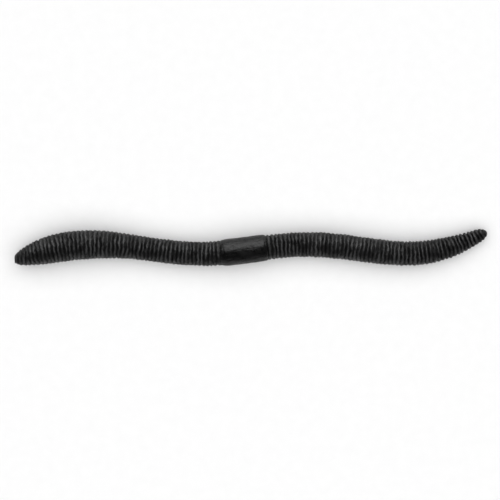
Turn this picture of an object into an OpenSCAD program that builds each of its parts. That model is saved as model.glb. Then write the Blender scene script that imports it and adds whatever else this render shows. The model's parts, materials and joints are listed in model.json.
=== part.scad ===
// Straight ribbed soft worm with a smooth collar, lying on a table in a gentle wave.
// The soft casting is divided at its rib grooves into short sections. Each section
// meets the next at a knuckle, and the knuckles turn in two directions by turns, so
// that the worm bends sideways and up or down along its whole length.
// Distances along the worm are measured on its middle line, from the nose.

/* [Overall] */
// Length along the middle line, from nose to tail
worm_length = 152.4; // [135:0.1:200]
// Diameter of the plain trunk, halfway between rib crests and grooves
trunk_d = 7.3; // [5.5:0.1:10]

/* [Head] */
// Diameter of the nose where it is cut off flat
nose_d = 2.2; // [1:0.1:4]
// How far the nose's cut leans from square, in degrees
nose_lean = 17; // [0:1:25]
// Diameter of the head where it is thickest
head_d = 9; // [7:0.1:12]
// Distance from the nose to where the head reaches its full thickness
head_at = 17.5; // [14:0.5:20]
// Distance from the nose to where the head begins to thin
neck_from = 20.5; // [20:0.5:30]
// Distance from the nose to where the head has thinned to the trunk
neck_to = 43.5; // [34:0.5:52]

/* [Collar] */
// Distance from the nose to the collar's front edge
collar_at = 66.3; // [58:0.1:80]
// Length of the smooth collar
collar_length = 14.6; // [10:0.1:20]
// Diameter of the collar
collar_d = 8.5; // [7.5:0.1:12]
// Length over which the worm swells at the collar's front edge
collar_front_swell = 2.6; // [1:0.1:4]
// Length over which the worm thins at the collar's rear edge
collar_rear_swell = 1.0; // [1:0.1:4]

/* [Rear half] */
// How much thicker the rear half is at its middle than the trunk
rear_swell = 0.4; // [0:0.1:1.5]
// Length over which the tail narrows
tail_taper = 25; // [14:0.1:32]
// Diameter that the tail narrows to before its round tip
tip_d = 2.8; // [1.5:0.1:4]
// Length of the round tip
tip_length = 1.8; // [0.8:0.1:3]

/* [Ribs] */
// Distance from one rib to the next, rounded so that whole ribs fill a section
rib_pitch = 1.27; // [0.9:0.01:2]
// Height of a rib's crest above the groove beside it
rib_depth = 0.4; // [0.2:0.05:0.8]

/* [Sections] */
// Length of the head section
head_length = 11.4; // [8:0.1:14]
// Length of the tail section
tail_length = 11.4; // [8:0.1:14]
// Ribbed length at each end of the collar that belongs to its section
shoulder = 3.8; // [2.4:0.1:5]

/* [Knuckles] */
// Radius of the round knuckle at the front of a section
knuckle_r = 1.8; // [1.2:0.05:2.2]
// Gap all round between a knuckle and its cup
play = 0.08; // [0.05:0.01:0.1]
// How far an upright knuckle turns each way, in degrees
bend_max = 25; // [10:1:30]
// How far a level knuckle turns each way, in degrees
lift_max = 20; // [10:1:30]

/* [Lie on the table] */
// Largest heading of the wave that the worm lies in, in degrees
wave_angle = 7.8; // [0:0.1:12]
// Length of one wave, along the worm
wave_length = 67.5; // [50:0.5:90]
// Distance from the nose to a place where the wave's heading is largest
wave_crest = 77; // [60:0.5:90]
// Extra heading of the nose, in degrees
nose_curl = 15; // [0:0.5:20]
// Length over which the nose curls
nose_curl_length = 24; // [10:0.5:40]
// Extra heading of the tail, in degrees
tail_curl = 21; // [0:0.5:30]
// Length over which the tail curls
tail_curl_length = 32; // [15:0.5:45]
// How far the middle line sinks from the start of the taper to the tip of the tail
tail_droop = 1.2; // [0:0.1:1.5]

/* [Hidden] */
FORE_SECTIONS = 8;
AFT_SECTIONS = 9;

SOFT_BLACK = [0.10, 0.10, 0.11];
SKIN_FN = 96;          // facets of the preview round a section; the solids are true rounds
STEPS_PER_RIB = 6;     // straight stretches in the outline of one rib
CREST_ROUNDNESS = 0.7; // under 1 broadens the crests and sharpens the grooves
NOSE_BLUNTNESS = 0.7;  // of a dome's outline: 0.5 is an ellipse, and 1 a parabola
TAIL_BLUNTNESS = 1;
TIP_BLUNTNESS = 0.5;
PLAIN_END = 3;         // the ribs fade out over this length at the nose and the tip
CURL_GROWTH = 1.5;     // how the curl gathers towards an end
PATH_STEP = 0.25;      // spacing of the points that the middle line is summed from

collar_end = collar_at + collar_length;
taper_at = worm_length - tail_taper;
reach = knuckle_r + play + 0.4; // a section's outline runs this far past its knuckles
cut_size = 2 * head_d;          // larger than any section is wide
// The nose's outline runs this far past its middle, so that a leaning cut is whole.
nose_spare = nose_d / 2 * tan(nose_lean) + 0.1;

// Where one section ends and the next begins, along the worm.
fore_end = collar_at - shoulder;
fore_step = (fore_end - head_length) / FORE_SECTIONS;
aft_from = collar_end + shoulder;
aft_step = (worm_length - tail_length - aft_from) / AFT_SECTIONS;
joint_at = concat(
    [for (i = [0:FORE_SECTIONS]) head_length + i * fore_step],
    [for (i = [0:AFT_SECTIONS]) aft_from + i * aft_step]
);
section_at = concat([0], joint_at, [worm_length]);
COLLAR_SECTION = FORE_SECTIONS + 1;

// Whole ribs fill each of these stretches. The collar is a stretch with none.
stretch_at = concat(
    [0],
    [for (i = [0:FORE_SECTIONS]) joint_at[i]],
    [collar_at, collar_end],
    [for (i = [FORE_SECTIONS + 1:len(joint_at) - 1]) joint_at[i]],
    [worm_length]
);

// ---- Outline of the worm ----

function clamp(x, low, high) = min(high, max(low, x));
function ease(t) = (1 - cos(180 * clamp(t, 0, 1))) / 2;
function dome(t, bluntness) = pow(1 - pow(1 - clamp(t, 0, 1), 2), bluntness);

function swell_at(s) =
    s > collar_end && s < taper_at
        ? rear_swell * sin(180 * (s - collar_end) / (taper_at - collar_end))
        : 0;
function tail_d(to_tip) =
    (tip_d + (trunk_d - tip_d) * dome(to_tip / tail_taper, TAIL_BLUNTNESS))
    * dome(to_tip / tip_length, TIP_BLUNTNESS);
function plain_d(s) =
    s < head_at ? nose_d + (head_d - nose_d) * dome(s / head_at, NOSE_BLUNTNESS)
    : s < taper_at
        ? head_d + (trunk_d - head_d) * ease((s - neck_from) / (neck_to - neck_from)) + swell_at(s)
    : tail_d(worm_length - s);
// Half of each swell lies under the ribs next to the collar.
function collar_part(s) =
    ease((s - collar_at) / collar_front_swell + 0.5)
    * ease((collar_end - s) / collar_rear_swell + 0.5);
function outline_d(s) = plain_d(s) + (collar_d - trunk_d) * collar_part(s);

function stretch_of(s) = max([for (i = [0:len(stretch_at) - 2]) stretch_at[i] <= s ? i : 0]);
function ribs_in(i) = round((stretch_at[i + 1] - stretch_at[i]) / rib_pitch);
function rib_wave(s) =
    let (
        i = stretch_of(s),
        turns = (s - stretch_at[i]) / (stretch_at[i + 1] - stretch_at[i]) * ribs_in(i)
    )
    pow(abs(sin(180 * turns)), CREST_ROUNDNESS);
function rib_share(s) = clamp(min(s, worm_length - s) / PLAIN_END, 0, 1);
// How far the skin stands out from the outline, as a share of the ribs' depth: 0.5 on a crest
// and -0.5 in a groove. Past the last groove it comes up to the smooth collar in one pitch.
function skin_rise(s) =
    s > collar_at && s < collar_end
        ? min(0, min(s - collar_at, collar_end - s) / rib_pitch - 1) / 2
        : (rib_wave(s) - 0.5) * rib_share(s);
function skin_r(s) = outline_d(s) / 2 + rib_depth * skin_rise(s);

// Places where the outline has a point: a few in each rib.
stations = [
    for (i = [0:len(stretch_at) - 2])
        let (n = ribs_in(i) * STEPS_PER_RIB, a = stretch_at[i], b = stretch_at[i + 1])
        for (k = [0:n - 1]) a + (b - a) * k / n
];

// ---- Middle line of the worm ----

function heading(s) =
    wave_angle * cos(360 * (s - wave_crest) / wave_length)
    + nose_curl * pow(clamp(1 - s / nose_curl_length, 0, 1), CURL_GROWTH)
    + tail_curl * pow(clamp(1 - (worm_length - s) / tail_curl_length, 0, 1), CURL_GROWTH);

path_count = round(worm_length / PATH_STEP);
path_gap = worm_length / path_count;
path = [
    for (
        i = 0, x = 0, y = 0;
        i <= path_count;
        x = x + path_gap * cos(heading((i + 0.5) * path_gap)),
        y = y + path_gap * sin(heading((i + 0.5) * path_gap)),
        i = i + 1
    )
    [x, y]
];
function path_at(s) =
    let (i = clamp(floor(s / path_gap), 0, path_count - 1), t = s / path_gap - i)
    path[i] + (path[i + 1] - path[i]) * t;

// The soft trunk lies on the table along its belly, so its middle line is a radius high.
// The nose and the collar's shoulders keep the height of the head and of the collar, and
// the tapered tail sinks a little.
function lie_z(s) =
    s < head_at ? head_d / 2
    : s >= fore_end && s <= aft_from ? collar_d / 2
    : s < taper_at ? outline_d(s) / 2
    : trunk_d / 2 - tail_droop * pow((s - taper_at) / tail_taper, CURL_GROWTH);

// The ends of the sections, with the first point of the middle line at the origin.
lie_ends = [for (s = section_at) [path_at(s)[0], path_at(s)[1], lie_z(s)]];
run = [for (i = [0:len(lie_ends) - 2]) lie_ends[i + 1] - lie_ends[i]];

// The lowest and highest that the straight sections reach along one of the frame's axes.
// A round slice of radius r, square to the unit vector d, reaches r * sqrt(1 - d*d) from
// its middle.
function slice_middle(i, s, k) =
    lie_ends[i][k] + run[i][k] * (s - section_at[i]) / (section_at[i + 1] - section_at[i]);
function slice_reach(i, s, k) = skin_r(s) * sqrt(1 - pow(run[i][k] / norm(run[i]), 2));
function slices_of(i) =
    let (from = i == 0 ? cut_meets(1) : section_at[i])
    concat([for (s = stations) if (s >= from && s < section_at[i + 1]) s], [section_at[i + 1]]);
// How far along the head the leaning cut meets the skin, on its far side (1) or near side (-1).
function cut_meets(side, s = 0, tries = 8) =
    tries == 0 ? s : cut_meets(side, side * skin_r(s) * tan(nose_lean), tries - 1);
head_way = run[0] / norm(run[0]);
cut_corners = [
    for (side = [-1, 1])
        let (s = cut_meets(side))
        lie_ends[0] + head_way * s + [-head_way[1], head_way[0], 0] * side * skin_r(s)
];
function lowest(k) =
    min([
        for (p = cut_corners) p[k],
        for (i = [0:len(run) - 1]) for (s = slices_of(i)) slice_middle(i, s, k) - slice_reach(i, s, k)
    ]);
function highest(k) =
    max([
        for (p = cut_corners) p[k],
        for (i = [0:len(run) - 1]) for (s = slices_of(i)) slice_middle(i, s, k) + slice_reach(i, s, k)
    ]);

// The frame's origin is on the table, under the middle of the worm's box.
under_middle = [(lowest(0) + highest(0)) / 2, (lowest(1) + highest(1)) / 2, lowest(2)];
section_ends = [for (p = lie_ends) p - under_middle];

function level_turn(d) = [0, 0, atan2(d[1], d[0])];
function turn_of(d) = [0, -atan2(d[2], norm([d[0], d[1]])), atan2(d[1], d[0])];
// A knuckle is square to the two sections that it joins, as seen from above.
function joint_turn(i) = level_turn(run[i - 1] / norm(run[i - 1]) + run[i] / norm(run[i]));
// The knuckles next to the collar stand upright, and then every second one does.
function is_upright(i) =
    (i <= COLLAR_SECTION ? COLLAR_SECTION - i : i - COLLAR_SECTION - 1) % 2 == 0;

// ---- Shapes ----

// A section's outline, turned about its own axis, which runs along +X from its front end.
module ribbed_round(i) {
    a = section_at[i];
    b = section_at[i + 1];
    from = i == 0 ? -nose_spare : max(0, a - reach);
    to = min(worm_length, b + reach);
    inner = [for (s = stations) if (s > from + 0.01 && s < to - 0.01) s];
    // the straight section is a hair shorter than its stretch of the curved line
    shrink = norm(run[i]) / (b - a);
    profile = [for (s = concat([from], inner, [to])) [max(0, skin_r(s)), (s - a) * shrink]];
    last = profile[len(profile) - 1];
    tip = last[0] > 0 ? [[0, last[1]]] : [];
    rotate([0, 90, 0])
        rotate_extrude($fn = SKIN_FN)
            polygon(concat([[0, profile[0][1]]], profile, tip));
}

// Stands a flat cutting shape along the knuckle's axis at joint i, with +X to the tail.
module at_joint(i) {
    translate(section_ends[i])
        rotate(joint_turn(i))
            rotate(is_upright(i) ? [0, 0, 0] : [90, 0, 0])
                linear_extrude(height = cut_size, center = true)
                    children();
}

// The far side of a pair of faces that each lean back by half of the turn.
module leaning_side(i) {
    lean = cut_size * tan((is_upright(i) ? bend_max : lift_max) / 2);
    polygon([
        [play / 2, 0],
        [play / 2 + lean, cut_size],
        [-cut_size, cut_size],
        [-cut_size, -cut_size],
        [play / 2 + lean, -cut_size]
    ]);
}

// What is cut from the front of a section, leaving its knuckle.
module front_cut(i) {
    at_joint(i)
        difference() {
            leaning_side(i);
            circle(r = knuckle_r, $fn = 48);
        }
}

// What is cut from the back of a section, for the next one's knuckle.
module back_cut(i) {
    at_joint(i)
        union() {
            mirror([1, 0]) leaning_side(i);
            circle(r = knuckle_r + play, $fn = 48);
        }
}

module section(i) {
    color(SOFT_BLACK)
        difference() {
            translate(section_ends[i])
                rotate(turn_of(run[i]))
                    ribbed_round(i);
            if (i > 0)
                front_cut(i);
            if (i < len(run) - 1)
                back_cut(i + 1);
        }
}

// What is trimmed from the nose. The cut leans back on the side that the nose curls from.
module nose_trim() {
    translate(section_ends[0])
        rotate(turn_of(run[0]))
            rotate([0, 0, -nose_lean])
                translate([-cut_size, -cut_size / 2, -cut_size / 2])
                    cube(cut_size);
}

module head() {
    color(SOFT_BLACK)
        difference() {
            section(0);
            nose_trim();
        }
}

module fore(i) {
    section(i);
}

module collar() {
    section(COLLAR_SECTION);
}

module aft(i) {
    section(COLLAR_SECTION + i);
}

module tail() {
    section(len(run) - 1);
}

head();
for (i = [1:FORE_SECTIONS])
    fore(i);
collar();
for (i = [1:AFT_SECTIONS])
    aft(i);
tail();
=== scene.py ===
# %% [markdown]
# # A ribbed soft worm, lying on a table
#
# The real worm is one casting of soft black plastic: a blunt nose with a flat cut, fine ribs
# all along, a smooth raised collar near the middle and a tapered tail. The imported frame holds
# it as a chain of short stiff lengths with hinges between them. Here it gets one continuous
# skin that hides the chain.
#
# We start with the frame, because every place and size below is worked out from it.

# %% Load the frame
import json
import math

import bpy
import numpy as np
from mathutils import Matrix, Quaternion, Vector
from mathutils.bvhtree import BVHTree

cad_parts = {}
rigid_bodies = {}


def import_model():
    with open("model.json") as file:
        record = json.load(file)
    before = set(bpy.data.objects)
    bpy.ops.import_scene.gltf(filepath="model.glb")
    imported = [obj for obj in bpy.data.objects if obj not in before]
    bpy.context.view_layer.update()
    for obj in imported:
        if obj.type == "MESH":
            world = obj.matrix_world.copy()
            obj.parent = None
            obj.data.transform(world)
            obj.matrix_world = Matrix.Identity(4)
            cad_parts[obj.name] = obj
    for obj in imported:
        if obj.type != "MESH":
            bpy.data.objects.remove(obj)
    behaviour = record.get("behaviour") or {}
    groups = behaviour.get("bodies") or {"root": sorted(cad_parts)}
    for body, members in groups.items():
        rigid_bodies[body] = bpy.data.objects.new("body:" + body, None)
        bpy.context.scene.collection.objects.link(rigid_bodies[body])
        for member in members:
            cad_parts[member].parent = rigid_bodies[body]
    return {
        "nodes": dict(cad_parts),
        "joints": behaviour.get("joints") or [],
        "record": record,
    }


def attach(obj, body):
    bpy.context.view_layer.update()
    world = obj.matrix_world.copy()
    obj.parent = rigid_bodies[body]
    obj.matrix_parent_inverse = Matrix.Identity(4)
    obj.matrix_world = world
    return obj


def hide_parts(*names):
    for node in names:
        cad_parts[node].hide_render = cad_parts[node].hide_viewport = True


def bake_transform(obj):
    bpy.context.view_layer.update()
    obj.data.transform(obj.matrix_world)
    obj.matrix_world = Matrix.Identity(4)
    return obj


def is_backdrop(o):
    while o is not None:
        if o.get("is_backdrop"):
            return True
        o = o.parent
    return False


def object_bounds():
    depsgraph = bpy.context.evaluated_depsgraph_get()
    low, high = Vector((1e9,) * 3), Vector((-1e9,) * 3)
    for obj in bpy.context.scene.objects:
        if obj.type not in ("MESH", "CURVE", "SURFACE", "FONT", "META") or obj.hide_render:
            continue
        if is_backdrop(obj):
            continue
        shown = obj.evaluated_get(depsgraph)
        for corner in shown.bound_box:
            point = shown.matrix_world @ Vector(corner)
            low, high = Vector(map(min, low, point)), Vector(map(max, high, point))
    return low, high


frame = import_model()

cad_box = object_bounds()
MM = 0.001
print("box in mm:", [round(v / MM, 2) for corner in cad_box for v in corner])

# %% [markdown]
# ## The worm's middle line
#
# A skin that follows a path needs the path first. The cut nose, the hinges and the tip of the
# tail all lie on the worm's middle line, so a smooth curve through them is that line. A cubic
# spline through the points bends evenly, as soft plastic does. Catmull-Rom curves would be
# easier, but they bulge where the points stand unevenly, as they do beside the long collar.

# %% Points on the middle line
NOSE_MOUNT = "nose_face"
SPINE_STEP = 0.1 * MM  # how closely the middle line is sampled

hinges = sorted(frame["joints"], key=lambda joint: joint["pos_m"][0])
mounts = {mount["name"]: mount for mount in frame["record"]["mounts"]}
nose = np.array(mounts[NOSE_MOUNT]["pos_m"])


def corners_of(node):
    """A CAD node's vertices, as an array of points."""
    return np.array([v.co for v in frame["nodes"][node].data.vertices], float)


last_hinge = np.array(hinges[-1]["pos_m"])
tail_corners = corners_of(hinges[-1]["child"])
tip = tail_corners[np.argmax(np.linalg.norm(tail_corners - last_hinge, axis=1))]
knots = np.array([nose] + [joint["pos_m"] for joint in hinges] + [tip])
print("middle line:", len(knots), "points from", nose.round(4), "to", tip.round(4))


# %% Smooth curve through the points
def spline_through(at, points, wanted):
    """A cubic spline through points, given at the distances at, read at the wanted ones.
    The first two spans share one cubic, and so do the last two, so the ends keep curving."""
    count = len(at)
    gap = np.diff(at)[:, None]
    slope = np.diff(points, axis=0) / gap
    equations = np.zeros((count, count))
    right = np.zeros_like(points)
    for i in range(1, count - 1):
        before, after = gap[i - 1, 0], gap[i, 0]
        equations[i, i - 1 : i + 2] = before, 2 * (before + after), after
        right[i] = 6 * (slope[i] - slope[i - 1])
    equations[0, :3] = gap[1, 0], -gap[0, 0] - gap[1, 0], gap[0, 0]
    equations[-1, -3:] = gap[-1, 0], -gap[-2, 0] - gap[-1, 0], gap[-2, 0]
    bend = np.linalg.solve(equations, right)
    span = np.clip(np.searchsorted(at, wanted, side="right") - 1, 0, count - 2)
    width = gap[span]
    a = (at[span + 1] - wanted)[:, None] / width
    b = 1 - a
    curve = a * points[span] + b * points[span + 1]
    return curve + ((a**3 - a) * bend[span] + (b**3 - b) * bend[span + 1]) * width**2 / 6


def distances_along(points):
    """How far along the line through points each of them is."""
    steps = np.linalg.norm(np.diff(points, axis=0), axis=1)
    return np.concatenate([[0], np.cumsum(steps)])


chords = distances_along(knots)
fine = spline_through(chords, knots, np.linspace(0, chords[-1], 20000))
fine_at = distances_along(fine)
length = fine_at[-1]
spine_at = np.linspace(0, length, round(length / SPINE_STEP) + 1)
spine = np.array([np.interp(spine_at, fine_at, fine[:, k]) for k in range(3)]).T
hinge_at = np.array(
    [fine_at[np.argmin(np.linalg.norm(fine - joint["pos_m"], axis=1))] for joint in hinges]
)
print("worm's length in mm:", round(length / MM, 2), "hinges at", (hinge_at / MM).round(1))

# %% [markdown]
# ## The outline
#
# The worm's thickness changes along it: full at the head, even along the trunk, thicker at the
# collar, tapered at the tail. The CAD lengths already have it, with plain ribs on them. So the
# radius is measured there, and averaged over one rib so that only the outline is left.
#
# Corners alone don't tell the radius, because a straight stretch has none. Rays do: each comes
# in from the side, square to the middle line, and stops at the skin. Some of them fall into the
# open wedge of a hinge. The wedge never reaches the two ends of the hinge's axis, so of several
# pairs of opposite rays the longest pair is right. A pair also cancels a middle line that is a
# little off centre.

# %% Measure the skin of the CAD lengths
RAY_PAIRS = 8  # pairs of opposite rays at each place
RAY_START = 20 * MM  # how far from the middle line a ray starts

cad_points, cad_faces = [], []
for node in frame["nodes"].values():
    first = len(cad_points)
    cad_points += [v.co for v in node.data.vertices]
    cad_faces += [[first + i for i in face.vertices] for face in node.data.polygons]
cad_skin = BVHTree.FromPolygons(cad_points, cad_faces)


def radius_along(point, direction):
    """How far the skin is from a point of the middle line, in a direction. 0 if it's missed."""
    hit = cad_skin.ray_cast(point + direction * RAY_START, -direction, RAY_START)
    return RAY_START - hit[3] if hit[0] else 0.0


tangents = np.gradient(spine, axis=0)
measured = np.zeros(len(spine))
for i, (point, tangent) in enumerate(zip(spine, tangents)):
    point, tangent = Vector(point), Vector(tangent).normalized()
    side = tangent.cross(Vector((0, 0, 1))).normalized()
    for k in range(RAY_PAIRS):
        turned = Quaternion(tangent, math.pi * k / RAY_PAIRS) @ side
        pair = radius_along(point, turned), radius_along(point, -turned)
        if min(pair) > 0:
            measured[i] = max(measured[i], sum(pair) / 2)
print("radius in mm, every 10 mm:", (measured[::100] / MM).round(2))
print("at the nose:", (measured[:4] / MM).round(2))

# %% [markdown]
# ## Ribs and grooves
#
# Whole ribs fill the stretch between one hinge and the next, so their pitch differs a little
# from stretch to stretch. The collar has none, and it starts and ends at a groove. Counting the
# ribs up along the worm gives every groove a whole number, and the tree can draw the ribs from
# that count alone.

# %% Count the ribs
RIBS_PER_LENGTH = 5  # ribs between one hinge and the next
SHOULDER_RIBS = 3  # ribs between the collar and the hinge on either side of it

parents = [joint["parent"] for joint in hinges]
children = [joint["child"] for joint in hinges]
collar_body = (set(parents) - set(children)).pop()
before_collar = parents.index(collar_body) + 1
bodies = children[:before_collar] + [collar_body] + children[before_collar:]

pitch = np.median(np.diff(hinge_at)) / RIBS_PER_LENGTH
collar_from = hinge_at[before_collar - 1] + SHOULDER_RIBS * pitch
collar_to = hinge_at[before_collar] - SHOULDER_RIBS * pitch
stretches = sorted([0, *hinge_at, collar_from, collar_to, length])
counted = np.concatenate([[0], np.cumsum(np.round(np.diff(stretches) / pitch))])
ribs_at = np.interp(spine_at, stretches, counted)
print("pitch in mm:", round(pitch / MM, 3), "ribs, with the collar's stretch:", counted[-1])
print("collar from", round(collar_from / MM, 2), "to", round(collar_to / MM, 2), "mm")

# %% [markdown]
# The outline is the measured radius, averaged over one rib. The average narrows towards each
# end, which keeps the nose's flat cut and the tip's curve.

# %% Average the radius over one rib
area = np.concatenate([[0], np.cumsum((measured[1:] + measured[:-1]) / 2 * np.diff(spine_at))])
half = np.clip(np.minimum(spine_at, length - spine_at), SPINE_STEP / 2, pitch / 2)
area_after = np.interp(spine_at + half, spine_at, area)
area_before = np.interp(spine_at - half, spine_at, area)
widths = np.minimum(spine_at + half, length) - np.maximum(spine_at - half, 0)
outline = (area_after - area_before) / widths
outline[-1] = 0
print("outline radius in mm, every 10 mm:", (outline[::100] / MM).round(2))

# %% [markdown]
# ## Where the skin is parted
#
# The skin has to bend at every hinge, and one piece can bend across one hinge only. So the skin
# is parted between the hinges, near the middle of each length, where it is stiff and both
# pieces follow the same body. A parting at the bottom of a groove doesn't show. The collar
# stays whole, from its front groove to its rear groove.

body_ends = [0, *hinge_at, length]


def groove_near(distance):
    """The groove nearest a distance along the worm. A quarter rib's bias settles ties."""
    groove = math.floor(np.interp(distance, spine_at, ribs_at) + 0.25)
    return float(np.interp(groove, ribs_at, spine_at))


partings = [0.0]
for i in range(1, len(bodies) - 1):
    if bodies[i] == collar_body:
        partings += [float(collar_from), float(collar_to)]
    else:
        partings.append(groove_near((body_ends[i] + body_ends[i + 1]) / 2))
partings.append(length)
print("skin pieces:", len(partings) - 1)

# %% [markdown]
# ## Helpers for node trees
#
# A tree is easier to read in a script when a node is one line. `add` makes a node and feeds its
# inputs, by name, with numbers or with other nodes' outputs. `calc` does one sum.

# %% Helpers for node trees
def feed(tree, socket, value):
    """Sets an input to a plain value, or links it to the output that the value is."""
    if isinstance(value, bpy.types.NodeSocket):
        tree.links.new(value, socket)
    elif value is not None:
        socket.default_value = value


def add(tree, kind, inputs=(), **settings):
    """A node of that kind. inputs is a dict of input names or numbers, and their values."""
    node = tree.nodes.new(kind)
    for name, value in settings.items():
        setattr(node, name, value)
    for name, value in dict(inputs).items():
        feed(tree, node.inputs[name], value)
    return node


def calc(tree, operation, *values):
    """A Math node's result."""
    node = add(tree, "ShaderNodeMath", dict(enumerate(values)), operation=operation)
    return node.outputs[0]


def vector_calc(tree, operation, *values):
    """A Vector Math node's vector result."""
    node = add(tree, "ShaderNodeVectorMath", dict(enumerate(values)), operation=operation)
    return node.outputs["Vector"]


def scaled(tree, vector, share):
    """A vector times a number."""
    node = add(tree, "ShaderNodeVectorMath", {0: vector, "Scale": share}, operation="SCALE")
    return node.outputs["Vector"]


def noise(tree, vector, scale, detail=2.0, **inputs):
    """A noise texture's value, which is 0.5 on average."""
    given = {"Vector": vector, "Scale": scale, "Detail": detail, **inputs}
    return add(tree, "ShaderNodeTexNoise", given).outputs[0]


def spread(tree, value, low, high, start=0.0, end=1.0):
    """Maps a value from start..end to low..high."""
    return add(tree, "ShaderNodeMapRange", {
        "Value": value, "From Min": start, "From Max": end, "To Min": low, "To Max": high,
    }).outputs["Result"]


def sockets_of(tree, direction, names):
    """Gives a tree its named inputs or outputs. names is a dict of name and (type, value)."""
    for name, (kind, value) in names.items():
        made = tree.interface.new_socket(name, in_out=direction, socket_type="NodeSocket" + kind)
        if value is not None:
            made.default_value = value


# %% [markdown]
# ## The ribbed skin, as a node tree
#
# A ribbed tube could be lathed straight and bent, or swept with Curve to Mesh. Here the tree
# starts from a plain cylinder of radius 1 instead, and finds a place for each of its corners: so
# far along the middle line, so far round it, at the outline's radius plus the height of the rib
# there. Then every ring sits exactly where the tree says, the pieces meet corner to corner at
# their partings, and both ends come closed.
#
# Real ribs of soft plastic aren't turned on a lathe. They waver, they are deeper in some places
# than in others, and the whole worm is a little lumpy. Noises give that. They read the place on
# the straightened worm, so that neighbouring pieces agree. The waver moves whole rings along the
# worm, and not only the ribs' height, so a ring always lies at the bottom of each groove.

# %% Tree: its inputs
skin_tree = bpy.data.node_groups.new("Ribbed skin", "GeometryNodeTree")
skin_tree.is_modifier = True
sockets_of(skin_tree, "INPUT", {
    "Middle Line": ("Geometry", None),
    "From": ("Float", 0.0),
    "To": ("Float", 0.01),
    "Whole Length": ("Float", 0.15),
    "Collar From": ("Float", 0.06),
    "Collar To": ("Float", 0.08),
    "Rib Pitch": ("Float", 0.0013),
    "Rings per Rib": ("Int", 10),
    "Sides": ("Int", 96),
    "End Rings": ("Int", 2),
    "Rib Depth": ("Float", 0.0004),
    "Waver": ("Float", 0.1),
    "Lumps": ("Float", 0.00005),
    "Grain": ("Float", 0.00005),
    "Round Tip": ("Float", 0.002),
    "Cut Roughness": ("Float", 0.0),
    "Cut Lean": ("Float", 0.0),
    "Skin": ("Material", None),
    "Cut Face": ("Material", None),
})
sockets_of(skin_tree, "OUTPUT", {"Worm": ("Geometry", None)})
given = skin_tree.nodes.new("NodeGroupInput").outputs
print("inputs:", [item.name for item in skin_tree.interface.items_tree if item.in_out == "INPUT"])

# %% Tree: rings along the middle line
tree = skin_tree
ribs_here = calc(tree, "SUBTRACT", given["To"], given["From"])
ribs_here = calc(tree, "DIVIDE", ribs_here, given["Rib Pitch"])
rings = calc(tree, "ROUND", calc(tree, "MULTIPLY", ribs_here, given["Rings per Rib"]))
cylinder = add(tree, "GeometryNodeMeshCylinder", {
    "Vertices": given["Sides"], "Side Segments": rings, "Fill Segments": given["End Rings"],
    "Radius": 1.0, "Depth": 1.0,
}, fill_type="TRIANGLE_FAN")
position = tree.nodes.new("GeometryNodeInputPosition").outputs[0]
corner = add(tree, "ShaderNodeSeparateXYZ", {0: position}).outputs
share = calc(tree, "ADD", corner["Z"], 0.5)
along = spread(tree, share, given["From"], given["To"])
to_tip = calc(tree, "SUBTRACT", given["Whole Length"], along)
print("nodes so far:", len(tree.nodes))

# %% Tree: close the rings up towards the tip, as the rings of a ball do
tip_share = calc(tree, "MINIMUM", calc(tree, "DIVIDE", to_tip, given["Round Tip"]), 1.0)
tip_angle = calc(tree, "MULTIPLY", calc(tree, "SUBTRACT", 1.0, tip_share), math.pi / 2)
inside_tip = calc(tree, "SUBTRACT", 1.0, calc(tree, "SINE", tip_angle))
inside_tip = calc(tree, "MULTIPLY", inside_tip, given["Round Tip"])
past_tip = calc(tree, "MAXIMUM", calc(tree, "SUBTRACT", to_tip, given["Round Tip"]), 0.0)
to_tip = calc(tree, "ADD", inside_tip, past_tip)
along = calc(tree, "SUBTRACT", given["Whole Length"], to_tip)
print("nodes so far:", len(tree.nodes))


# %% Tree: the place on the straightened worm
line = add(tree, "GeometryNodeMeshToCurve", {"Mesh": given["Middle Line"]}).outputs["Curve"]


def sample_line(distance, value="outline"):
    """Reads the middle line at a distance from the nose: its place, its direction and, as
    its value, the outline's radius or the count of ribs there."""
    stored = add(tree, "GeometryNodeInputNamedAttribute", {"Name": value}, data_type="FLOAT")
    inputs = {"Curves": line, "Value": stored.outputs["Attribute"], "Length": distance}
    return add(tree, "GeometryNodeSampleCurve", inputs, mode="LENGTH", data_type="FLOAT").outputs


# %% [markdown]
# The cut at the nose isn't square to the worm. So the first rings lean with it, and stand square
# again a few millimetres on. A corner that leans comes to a place with another radius, which
# changes how far it leans. Three rounds settle that.

# %% Tree: lean of the first rings
LEAN_LENGTH = 8 * MM  # from here on the rings stand square
LEAN_ROUNDS = 3

leaning = calc(tree, "MAXIMUM", spread(tree, along, 1.0, 0.0, 0.0, LEAN_LENGTH), 0.0)
leaning = calc(tree, "MULTIPLY", leaning, calc(tree, "MULTIPLY", corner["X"], given["Cut Lean"]))
girth = sample_line(along)["Value"]
for _ in range(LEAN_ROUNDS):
    leaned = calc(tree, "MULTIPLY", girth, leaning)
    girth = sample_line(calc(tree, "ADD", along, leaned))["Value"]

straightened = add(tree, "ShaderNodeCombineXYZ", {
    "X": calc(tree, "ADD", along, leaned),
    "Y": calc(tree, "MULTIPLY", corner["X"], girth),
    "Z": calc(tree, "MULTIPLY", corner["Y"], girth),
}).outputs[0]


DEPTH_COPY, WAVER_COPY, LUMP_COPY, CUT_COPY, GRAIN_COPY = 1, 2, 3, 4, 5


def straight_noise(size, copy, detail=2.0):
    """Noise over the straightened worm, from -0.5 to 0.5, in lumps of that size. Each effect
    takes another copy, which is the same noise read a few metres away."""
    moved = vector_calc(tree, "ADD", straightened, (copy, 0, 0))
    return calc(tree, "SUBTRACT", noise(tree, moved, 1 / size, detail), 0.5)


# %% [markdown]
# The ribs' height is a half wave for each rib. At the collar's front edge they fade out over
# about two ribs, and at its rear edge they stop short, at a small step. They fade out at the
# nose and at the tip too, and towards the tail they are cut deeper.

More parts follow.
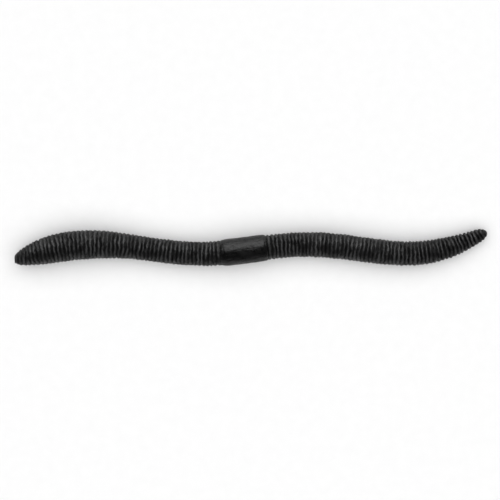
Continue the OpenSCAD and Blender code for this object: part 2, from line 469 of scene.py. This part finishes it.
# %% Tree: ribs and collar
RIB_MIDDLE = 2 / math.pi  # average height of a half wave: it lies on the outline
DEPTH_SIZE = 1.6 * MM  # the ribs get deeper and shallower over this distance
LEAST_DEPTH, MOST_DEPTH = 0.25, 1.45  # of the ribs' depth
NOISE_REACH = 0.22  # noise this far from its middle gives those two
FADE_FROM, FADE_TO = -0.9, 1.1  # in ribs from the collar's front edge
REAR_STEP = 0.35  # of a rib: how far the last rib runs onto the collar's rear edge
PLAIN_END = 2.5 * MM  # the ribs fade out over this length at the nose and at the tip
TAIL_LENGTH = 40 * MM
TAIL_DEPTH = 1.5  # how much deeper the ribs are at the tail's end

past_front = calc(tree, "SUBTRACT", along, given["Collar From"])
past_front = calc(tree, "DIVIDE", past_front, given["Rib Pitch"])
to_rear = calc(tree, "SUBTRACT", given["Collar To"], along)
to_rear = calc(tree, "DIVIDE", to_rear, given["Rib Pitch"])
into_collar = calc(tree, "MINIMUM", past_front, to_rear)
on_collar = calc(tree, "GREATER_THAN", into_collar, 0.0)
near_collar = calc(tree, "MINIMUM", calc(tree, "ABSOLUTE", into_collar), 1.0)
ribs_before = spread(tree, past_front, 1.0, 0.0, FADE_FROM, FADE_TO)
ribs_after = spread(tree, to_rear, 1.0, 0.0, 0.0, REAR_STEP)
ribs_shown = calc(tree, "MAXIMUM", ribs_before, ribs_after)
counted_ribs = sample_line(along, "ribs")["Value"]
wave = calc(tree, "ABSOLUTE", calc(tree, "SINE", calc(tree, "MULTIPLY", counted_ribs, math.pi)))
rise = calc(tree, "MULTIPLY", calc(tree, "SUBTRACT", wave, RIB_MIDDLE), ribs_shown)
crest = calc(tree, "ADD", rise, RIB_MIDDLE)
from_ends = calc(tree, "DIVIDE", calc(tree, "MINIMUM", along, to_tip), PLAIN_END)
from_ends = calc(tree, "MINIMUM", from_ends, 1.0)
uneven = straight_noise(DEPTH_SIZE, DEPTH_COPY)
depth_share = spread(tree, uneven, LEAST_DEPTH, MOST_DEPTH, -NOISE_REACH, NOISE_REACH)
tail_share = spread(tree, to_tip, TAIL_DEPTH, 1.0, 0.0, TAIL_LENGTH)
depth_share = calc(tree, "MULTIPLY", depth_share, tail_share)
rib_height = calc(tree, "MULTIPLY", rise, given["Rib Depth"])
rib_height = calc(tree, "MULTIPLY", rib_height, depth_share)
rib_height = calc(tree, "MULTIPLY", rib_height, from_ends)
print("nodes so far:", len(tree.nodes))

# %% Tree: waver, lumps and hollow ends
WAVER_SIZE = 2.2 * MM
LUMP_SIZE = 4.0 * MM
GRAIN_SIZE = 0.9 * MM
COLLAR_GRAIN = 0.4  # of the grain that the ribs have
HOLLOW = 0.1  # how far the middle of an end face sinks in, as a share of its radius
CUT_SIZE = 0.5 * MM  # size of the lumps that the nose's cut leaves
GRAIN_DETAIL = 3.0

swing_share = calc(tree, "MULTIPLY", near_collar, from_ends)
swing = calc(tree, "MULTIPLY", straight_noise(WAVER_SIZE, WAVER_COPY), swing_share)
swing = calc(tree, "MULTIPLY", swing, calc(tree, "MULTIPLY", given["Waver"], given["Rib Pitch"]))
grain_here = calc(tree, "MULTIPLY", given["Grain"], spread(tree, on_collar, 1.0, COLLAR_GRAIN))
lump = calc(tree, "MULTIPLY", straight_noise(LUMP_SIZE, LUMP_COPY), given["Lumps"])
small_lump = straight_noise(GRAIN_SIZE, GRAIN_COPY, GRAIN_DETAIL)
lump = calc(tree, "ADD", lump, calc(tree, "MULTIPLY", small_lump, grain_here))
lump = calc(tree, "MULTIPLY", lump, from_ends)
x_square = calc(tree, "POWER", corner["X"], 2.0)
y_square = calc(tree, "POWER", corner["Y"], 2.0)
across_square = calc(tree, "ADD", x_square, y_square)
from_rim = calc(tree, "MAXIMUM", calc(tree, "SUBTRACT", 1.0, across_square), 0.0)
which_end = calc(tree, "SUBTRACT", 0.5, share)  # above 0 at a piece's start, below 0 at its end
hollow = calc(tree, "MULTIPLY", which_end, calc(tree, "MULTIPLY", girth, 2 * HOLLOW))
torn = calc(tree, "MULTIPLY", straight_noise(CUT_SIZE, CUT_COPY), given["Cut Roughness"])
inwards = calc(tree, "MULTIPLY", calc(tree, "ADD", hollow, torn), from_rim)
print("nodes so far:", len(tree.nodes))

# %% Tree: put the corners in place
TOUCH = 0.01 * MM  # the lowest corners rest this far above the table

moved = calc(tree, "ADD", along, calc(tree, "ADD", swing, inwards))
place = sample_line(moved)
level = vector_calc(tree, "CROSS_PRODUCT", (0, 0, 1), place["Tangent"])
level = vector_calc(tree, "NORMALIZE", level)
upright = vector_calc(tree, "CROSS_PRODUCT", place["Tangent"], level)
radius = calc(tree, "ADD", girth, calc(tree, "ADD", rib_height, lump))
across = scaled(tree, level, calc(tree, "MULTIPLY", corner["X"], radius))
up = scaled(tree, upright, calc(tree, "MULTIPLY", corner["Y"], radius))
point = vector_calc(tree, "ADD", place["Position"], vector_calc(tree, "ADD", across, up))
point = vector_calc(tree, "ADD", point, scaled(tree, place["Tangent"], leaned))
split = add(tree, "ShaderNodeSeparateXYZ", {0: point}).outputs
height = calc(tree, "MAXIMUM", split["Z"], TOUCH)
rested = add(tree, "ShaderNodeCombineXYZ", {
    "X": split["X"], "Y": split["Y"], "Z": height,
}).outputs[0]
print("nodes so far:", len(tree.nodes))

# %% [markdown]
# The two fields are stored before the corners move, for the materials to read. Then the tip's
# last ring merges into one corner. The grooves and the end faces get hard edges, because a
# groove is a sharp cut in the mould, and so every groove shades alike, parted or not.

# %% Tree: store, close, shade and finish
GROOVE = 0.1  # a corner whose crest value is below this lies in a groove
SAME_PLACE = 1e-6  # corners nearer than this, in metres, become one

stored = add(tree, "GeometryNodeStoreNamedAttribute", {
    "Geometry": cylinder.outputs["Mesh"], "Name": "crest", "Value": crest,
}, data_type="FLOAT", domain="POINT")
stored = add(tree, "GeometryNodeStoreNamedAttribute", {
    "Geometry": stored.outputs[0], "Name": "straightened", "Value": straightened,
}, data_type="FLOAT_VECTOR", domain="POINT")
placed = add(tree, "GeometryNodeSetPosition", {"Geometry": stored.outputs[0], "Position": rested})
merged = add(tree, "GeometryNodeMergeByDistance", {
    "Geometry": placed.outputs[0], "Distance": SAME_PLACE,
})
stored_crest = add(tree, "GeometryNodeInputNamedAttribute", {"Name": "crest"}, data_type="FLOAT")
in_groove = calc(tree, "LESS_THAN", stored_crest.outputs["Attribute"], GROOVE)
creased = add(tree, "GeometryNodeSetShadeSmooth", {
    "Geometry": merged.outputs[0], "Selection": in_groove, "Shade Smooth": False,
}, domain="EDGE")
flat = add(tree, "GeometryNodeSetShadeSmooth", {
    "Geometry": creased.outputs[0], "Shade Smooth": False,
}, domain="FACE")
smooth = add(tree, "GeometryNodeSetShadeSmooth", {
    "Geometry": flat.outputs[0], "Selection": cylinder.outputs["Side"], "Shade Smooth": True,
}, domain="FACE")
real = add(tree, "GeometryNodeRealizeInstances", {"Geometry": smooth.outputs[0]})
skinned = add(tree, "GeometryNodeSetMaterial", {
    "Geometry": real.outputs[0], "Material": given["Skin"],
})
cut = add(tree, "GeometryNodeSetMaterial", {
    "Geometry": skinned.outputs[0], "Selection": cylinder.outputs["Bottom"],
    "Material": given["Cut Face"],
})
add(tree, "NodeGroupOutput", {0: cut.outputs[0]})
print("nodes in all:", len(tree.nodes))

# %% [markdown]
# ## Materials
#
# Soft lure plastic is clear plastic with black pigment stirred in. It is nearly black, and what
# the eye sees is mostly its shine: bright on the crests of the ribs, dull in the grooves where
# mould film and dust stay. So the colour stays dark and varies a little, and the work is in the
# roughness and in the fine bumps. Both bumps and dust show on all three finishes, so each is a
# group, built once.
#
# The patterns read the place on the straightened worm, an attribute that the tree stored. They
# follow the worm round its bends, and run on from one piece to the next.

# %% Group: fine grain of the mould
PIT_STEEPNESS = 2.0

grain_tree = bpy.data.node_groups.new("Mould grain", "ShaderNodeTree")
sockets_of(grain_tree, "INPUT", {
    "Vector": ("Vector", None), "Grain Size": ("Float", 0.0002), "Pit Size": ("Float", 0.0006),
    "Pits": ("Float", 0.5),
})
sockets_of(grain_tree, "OUTPUT", {"Height": ("Float", None)})
given = grain_tree.nodes.new("NodeGroupInput").outputs
tree = grain_tree
fine = noise(tree, given["Vector"], calc(tree, "DIVIDE", 1.0, given["Grain Size"]), detail=3.0)
pits = add(tree, "ShaderNodeTexVoronoi", {
    "Vector": given["Vector"], "Scale": calc(tree, "DIVIDE", 1.0, given["Pit Size"]),
}, feature="SMOOTH_F1").outputs["Distance"]
pits = calc(tree, "MINIMUM", calc(tree, "MULTIPLY", pits, PIT_STEEPNESS), 1.0)
pits = calc(tree, "MULTIPLY", pits, given["Pits"])
add(tree, "NodeGroupOutput", {0: calc(tree, "ADD", fine, pits)})

# %% Group: blotches of dull film and dust
film_tree = bpy.data.node_groups.new("Dull film", "ShaderNodeTree")
sockets_of(film_tree, "INPUT", {
    "Vector": ("Vector", None), "Blotch Size": ("Float", 0.004), "Sharpness": ("Float", 3.0),
})
sockets_of(film_tree, "OUTPUT", {"Mask": ("Float", None)})
given = film_tree.nodes.new("NodeGroupInput").outputs
tree = film_tree
blotch = noise(tree, given["Vector"], calc(tree, "DIVIDE", 1.0, given["Blotch Size"]), detail=4.0)
blotch = calc(tree, "MULTIPLY", calc(tree, "SUBTRACT", blotch, 0.5), given["Sharpness"])
mask = add(tree, "ShaderNodeClamp", {"Value": calc(tree, "ADD", blotch, 0.5)}).outputs[0]
add(tree, "NodeGroupOutput", {0: mask})


# %% Helpers for materials
def plastic(name, **finish):
    """A new material, as its tree and its shader, with the shader's own values set."""
    material = bpy.data.materials.new(name)
    material.use_nodes = True
    shader = material.node_tree.nodes["Principled BSDF"]
    for socket, value in finish.items():
        shader.inputs[socket.replace("_", " ")].default_value = value
    return material, material.node_tree, shader


def attribute(tree, name, output="Vector"):
    return add(tree, "ShaderNodeAttribute", attribute_name=name).outputs[output]


def group(tree, used, **inputs):
    """The first output of a shader group that is used in a material."""
    node = add(tree, "ShaderNodeGroup", node_tree=used)
    for name, value in inputs.items():
        feed(tree, node.inputs[name.replace("_", " ")], value)
    return node.outputs[0]


def grey(value):
    """A neutral colour."""
    return (value, value, value, 1)


def mixed(tree, factor, low, high):
    """A colour between low and high. Sockets 6, 7 and 2 are a Mix node's colour sockets."""
    inputs = {"Factor": factor, 6: low, 7: high}
    return add(tree, "ShaderNodeMix", inputs, data_type="RGBA").outputs[2]


def bumped(tree, shader, height, distance):
    node = add(tree, "ShaderNodeBump", {"Height": height, "Distance": distance, "Strength": 1.0})
    feed(tree, shader.inputs["Normal"], node.outputs[0])


# %% [markdown]
# ### The ribbed skin
#
# The crests are painted a lighter grey, a painted highlight that follows the rib's height, and the
# grooves stay near black as painted shade. Blotches of film break the lightening up.

# %% Material: ribbed skin
BLACK = grey(0.0015)
# The lighter grey is a painted highlight on the rib crests; on the cut face it is plain wear.
WORN_AND_HIGHLIGHT_GREY = (0.048, 0.048, 0.049, 1)
HIGHLIGHT_SHARPNESS = 5.0  # how closely the painted highlight keeps to the top of a crest
# least share of the painted highlight, where the film blotches are full
LEAST_HIGHLIGHT = 0.15
GROOVE_ROUGHNESS, CREST_ROUGHNESS = 0.60, 0.30
ROUGHER, SMOOTHER = 0.08, -0.04  # where the film is missing, and where it is full
RIB_BUMP = 0.14 * MM

ribbed, tree, shader = plastic("Ribbed soft plastic", Coat_Weight=0.0, Specular_IOR_Level=0.5)
straight = attribute(tree, "straightened")
crest_height = attribute(tree, "crest", "Fac")
film = group(tree, film_tree, Vector=straight, Blotch_Size=3.0 * MM, Sharpness=6.0)
# Painted highlight on the crests and painted shade in the grooves: the colour gets lighter with
# the crest's height.
crest_highlight_and_wear = calc(tree, "POWER", crest_height, HIGHLIGHT_SHARPNESS)
crest_highlight_and_wear = calc(tree, "MULTIPLY", crest_highlight_and_wear, spread(tree, film, LEAST_HIGHLIGHT, 1.0))
feed(tree, shader.inputs["Base Color"], mixed(tree, crest_highlight_and_wear, BLACK, WORN_AND_HIGHLIGHT_GREY))
rough = spread(tree, crest_height, GROOVE_ROUGHNESS, CREST_ROUGHNESS)
rough = calc(tree, "ADD", rough, spread(tree, film, ROUGHER, SMOOTHER))
feed(tree, shader.inputs["Roughness"], rough)
grain = group(tree, grain_tree, Vector=straight, Grain_Size=0.3 * MM, Pit_Size=0.8 * MM, Pits=0.5)
bumped(tree, shader, grain, RIB_BUMP)

# %% [markdown]
# ### The smooth collar
#
# The collar has no ribs, but it isn't polished. It is a little streaked along the worm, as the
# plastic flowed, and blotchy where film dried on it.

# %% Material: smooth collar
FILMED = grey(0.007)
CLEAN_ROUGHNESS, FILMED_ROUGHNESS = 0.26, 0.40
STREAK = (0.28, 1.0, 1.0)  # squeezes the worm's length, so that patterns come out drawn along it
COLLAR_BUMP = 0.07 * MM

collar_skin, tree, shader = plastic("Smooth collar plastic", Coat_Weight=0.0)
straight = attribute(tree, "straightened")
streaked = vector_calc(tree, "MULTIPLY", straight, STREAK)
film = group(tree, film_tree, Vector=streaked, Blotch_Size=0.9 * MM, Sharpness=3.0)
patches = group(tree, film_tree, Vector=straight, Blotch_Size=2.5 * MM, Sharpness=3.0)
both = calc(tree, "MULTIPLY", film, patches)
feed(tree, shader.inputs["Base Color"], mixed(tree, both, BLACK, FILMED))
rough = spread(tree, both, CLEAN_ROUGHNESS, FILMED_ROUGHNESS)
feed(tree, shader.inputs["Roughness"], rough)
grain = group(tree, grain_tree, Vector=streaked, Grain_Size=0.2 * MM, Pit_Size=0.8 * MM, Pits=0.4)
bumped(tree, shader, calc(tree, "ADD", grain, film), COLLAR_BUMP)

# %% [markdown]
# ### The cut at the nose
#
# The nose is trimmed from the sprue, and a cut through soft plastic is matt and torn.

# %% Material: cut face
LEAST_TORN, MOST_TORN = 0.6, 0.8  # its roughness
CUT_BUMP = 0.10 * MM

cut_face, tree, shader = plastic("Cut soft plastic")
straight = attribute(tree, "straightened")
film = group(tree, film_tree, Vector=straight, Blotch_Size=0.6 * MM, Sharpness=3.0)
feed(tree, shader.inputs["Base Color"], mixed(tree, film, BLACK, WORN_AND_HIGHLIGHT_GREY))
feed(tree, shader.inputs["Roughness"], spread(tree, film, LEAST_TORN, MOST_TORN))
grain = group(tree, grain_tree, Vector=straight, Grain_Size=0.15 * MM, Pit_Size=0.4 * MM, Pits=0.6)
bumped(tree, shader, grain, CUT_BUMP)
print("materials:", [material.name for material in bpy.data.materials])

# %% [markdown]
# ## Growing the skin
#
# The middle line becomes a mesh of points and edges that carries the outline. Each piece starts
# from it, with the tree as its modifier and its own stretch of the worm as the tree's inputs.
# The result is then kept as a plain mesh, because a piece that bends may have no live tree.

# %% Lean of the nose's cut
# The cut face looks along its mount's axis. Its lean is how far a corner of it goes along the
# worm, for each step to the left of the middle line.
cut_axis = Vector(mounts[NOSE_MOUNT]["axis"])
nose_way = Vector(tangents[0]).normalized()
cut_lean = -cut_axis.dot(Vector((0, 0, 1)).cross(nose_way)) / cut_axis.dot(nose_way)
print("the nose's cut leans by", round(math.degrees(math.atan(cut_lean)), 1), "degrees")

# %% Middle line as a mesh
RIB_DEPTH = 0.40 * MM
WAVER = 0.9  # of a rib
LUMPS = 0.40 * MM
GRAIN = 0.26 * MM
ROUND_TIP = 1.8 * MM
NOSE_RINGS = 8
CUT_ROUGHNESS = 0.3 * MM

line_mesh = bpy.data.meshes.new("middle line")
line_mesh.from_pydata(spine.tolist(), [(i, i + 1) for i in range(len(spine) - 1)], [])
line_mesh.attributes.new("outline", "FLOAT", "POINT").data.foreach_set("value", outline)
line_mesh.attributes.new("ribs", "FLOAT", "POINT").data.foreach_set("value", ribs_at)
socket_id = {
    item.name: item.identifier
    for item in skin_tree.interface.items_tree if item.in_out == "INPUT"
}


# %% Helper: one piece of skin
def grow(name, start, end, skin):
    """Grows the skin between two distances along the worm, and keeps it as a plain mesh."""
    seed = bpy.data.objects.new(name + " seed", line_mesh)
    bpy.context.scene.collection.objects.link(seed)
    modifier = seed.modifiers.new("Ribbed skin", "NODES")
    modifier.node_group = skin_tree
    values = {
        "From": start, "To": end, "Whole Length": length, "Rib Pitch": pitch,
        "Collar From": collar_from, "Collar To": collar_to, "Rib Depth": RIB_DEPTH,
        "Waver": WAVER, "Lumps": LUMPS, "Grain": GRAIN, "Round Tip": ROUND_TIP,
        "Skin": skin, "Cut Face": skin,
    }
    if start == 0:
        values |= {"Cut Face": cut_face, "Cut Roughness": CUT_ROUGHNESS, "Cut Lean": cut_lean,
                   "End Rings": NOSE_RINGS}
    for input_name, value in values.items():
        modifier[socket_id[input_name]] = value
    evaluated = seed.evaluated_get(bpy.context.evaluated_depsgraph_get())
    mesh = bpy.data.meshes.new_from_object(evaluated)
    mesh.name = name
    piece = bpy.data.objects.new(name, mesh)
    bpy.context.scene.collection.objects.link(piece)
    bpy.data.objects.remove(seed)
    return piece


# %% [markdown]
# ## The twenty pieces
#
# Each body of the chain holds one CAD node of the same name. A piece is named for the node that
# it stands for, and that node is hidden. The collar is the one stretch without a hinge, so it
# simply rides on its body. The other pieces stay in place as plain meshes.

# %% Grow the pieces, and join the collar to its body
hinge = 0
for start, end in zip(partings, partings[1:]):
    if start == collar_from:
        piece = grow("skin_" + collar_body, start, end, collar_skin)
        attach(piece, collar_body)
        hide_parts(collar_body)
    else:
        child = children[hinge]
        piece = grow("skin_" + child, start, end, ribbed)
        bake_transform(piece)
        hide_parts(child)
        hinge += 1
    print(piece.name, "triangles:", sum(len(p.vertices) - 2 for p in piece.data.polygons))

# %% [markdown]
# ## Floor, light and camera
#
# The worm lies on a white table and is seen from straight above. Black plastic shows mostly what
# it mirrors, so one light draws its shape: a large softbox, tilted towards the far side of the
# worm, gives the broad soft shine on its upper half. It is only mirrored, and casts no shadow.
# A larger softbox overhead lights the table and the plastic evenly and isn't mirrored. The table
# looks darker in the plastic than it is, so that the worm's lower edge stays dark.

# %% The table
FLOOR_SIZE = 4.0
TABLE_SHADES = 0.90, 0.94
MOTTLE_SCALE = 300.0  # blotches in a metre
MIRRORED_TABLE = 0.5  # the table as the worm's skin mirrors it

floor_mesh = bpy.data.meshes.new("table top")
half_floor = FLOOR_SIZE / 2
floor_mesh.from_pydata(
    [(-half_floor, -half_floor, 0), (half_floor, -half_floor, 0),
     (half_floor, half_floor, 0), (-half_floor, half_floor, 0)], [], [(0, 1, 2, 3)])
floor = bpy.data.objects.new("table top", floor_mesh)
bpy.context.scene.collection.objects.link(floor)
white, tree, shader = plastic("White table", Roughness=0.9, Specular_IOR_Level=0.1)
place_on_table = add(tree, "ShaderNodeTexCoord").outputs["Object"]
mottle = noise(tree, place_on_table, MOTTLE_SCALE, detail=3.0)
pale = mixed(tree, mottle, *(grey(shade) for shade in TABLE_SHADES))
mirrored = add(tree, "ShaderNodeLightPath").outputs["Is Glossy Ray"]
feed(tree, shader.inputs["Base Color"], mixed(tree, mirrored, pale, grey(MIRRORED_TABLE)))
floor.data.materials.append(white)
floor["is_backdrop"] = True


# %% Helper: a softbox
def softbox(name, place, size, shine):
    """A rectangular area light at a place, turned to the worm. A shine of 1 looks white."""
    light = bpy.data.lights.new(name, "AREA")
    light.shape = "RECTANGLE"
    light.size, light.size_y = size
    light.energy = shine * math.pi * size[0] * size[1]
    lamp = bpy.data.objects.new(name, light)
    lamp.location = place
    lamp.rotation_euler = (Vector() - Vector(place)).to_track_quat("-Z", "Y").to_euler()
    lamp.visible_camera = False
    bpy.context.scene.collection.objects.link(lamp)
    return lamp


# %% Lights
KEY_SHINE = 2.0
KEY_LEAN = 50  # degrees from overhead towards the far side
KEY_SIZE = (1.2, 1.4)
KEY_AWAY = 1.2
FILL_SHINE = 1.5
FILL_SIZE = (4.0, 4.0)
FILL_HEIGHT = 1.5
DARK_ROOM = 0.05  # the room round the table, which the camera itself sees white

key_angle = math.radians(KEY_LEAN)
key_place = (0, KEY_AWAY * math.sin(key_angle), KEY_AWAY * math.cos(key_angle))
key = softbox("big softbox", key_place, KEY_SIZE, KEY_SHINE)
key.visible_diffuse = False
fill = softbox("fill", (0, 0, FILL_HEIGHT), FILL_SIZE, FILL_SHINE)
fill.visible_glossy = False

world = bpy.data.worlds.new("studio")
world.use_nodes = True
tree = world.node_tree
background = tree.nodes["Background"]
seen = add(tree, "ShaderNodeLightPath").outputs["Is Camera Ray"]
feed(tree, background.inputs["Color"], grey(1.0))
feed(tree, background.inputs["Strength"], spread(tree, seen, DARK_ROOM, 1.0))
bpy.context.scene.world = world
bpy.context.scene.view_settings.view_transform = "Standard"

# %% [markdown]
# The camera looks straight down from far off through a long lens, as a catalogue picture is
# taken, so that the ends of the worm aren't drawn smaller than its middle.

# %% Camera
LENS = 135.0  # mm
SENSOR = 36.0  # mm
VIEW_WIDTH = 158.8 * MM  # what the picture takes in, at the worm's middle height
CLIP_NEAR, CLIP_FAR = 0.01, 20.0
AIM = Vector((-0.45 * MM, -0.83 * MM, 0))

worm_low, worm_high = cad_box
middle_height = (worm_low[2] + worm_high[2]) / 2
lens = bpy.data.cameras.new("camera")
lens.lens, lens.sensor_width = LENS, SENSOR
lens.clip_start, lens.clip_end = CLIP_NEAR, CLIP_FAR
camera = bpy.data.objects.new("camera", lens)
camera.location = AIM + Vector((0, 0, middle_height + VIEW_WIDTH * LENS / SENSOR))
bpy.context.scene.collection.objects.link(camera)
bpy.context.scene.camera = camera
print("camera height in mm:", round(camera.location.z / MM, 1))

# %% [markdown]
# ## Sizes, and the end
#
# The skin must not outgrow the CAD part, so the sizes of both boxes are printed.

# %% Write the sizes and finish
visual_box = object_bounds()
boxes = {"cad": cad_box, "visual": visual_box}
for name, box in boxes.items():
    print(name, "box in mm:", [round((high - low) / MM, 2) for low, high in zip(*box)])
